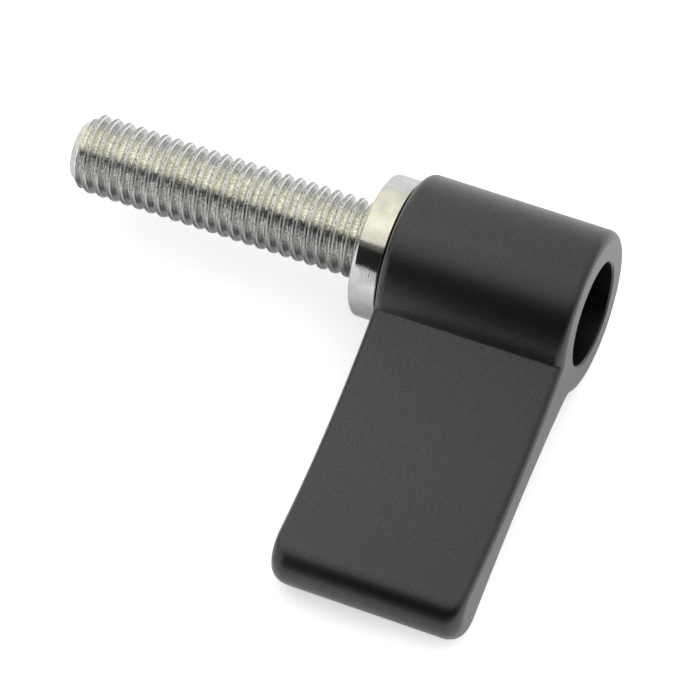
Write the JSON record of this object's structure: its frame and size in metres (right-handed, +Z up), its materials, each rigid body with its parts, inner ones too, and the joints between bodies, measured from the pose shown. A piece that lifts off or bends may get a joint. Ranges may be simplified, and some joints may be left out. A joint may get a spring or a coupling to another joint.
{
  "type": "indexing thumb screw",
  "caption": "Clamping lever thumb screw: collared steel threaded stud with a one-sided black cast lever that lifts off its serration against a spring and indexes round.",
  "frame": {"origin": "centre of the collar's clamping face, on the stud's axis", "axes": "+X runs along the stud's axis, from the thread towards the lever's hub; +Z is up as the part lies at rest on its hub and lever tip; the lever points to -Y"},
  "size_m": [0.0413, 0.033, 0.0126],
  "materials": {
    "zinc_plated_steel": "bright zinc plating with a faint yellow cast, rolled thread",
    "black_coated_casting": "satin black coating with a fine grain",
    "spring_wire": "drawn bright spring wire",
    "screw_steel": "turned steel, oiled"
  },
  "bodies": {
    "stud": {"stud": "zinc_plated_steel", "retaining_screw": "screw_steel", "spring": "spring_wire"},
    "lever": {"lever": "black_coated_casting"}
  },
  "joints": [
    {"name": "lever_lift", "type": "slide", "parent": "stud", "child": "lever", "axis": [1, 0, 0], "range_m": [0, 0.0024], "stiffness_N_per_m": 700, "springref_m": -0.002, "deforming": ["spring"]}
  ]
}
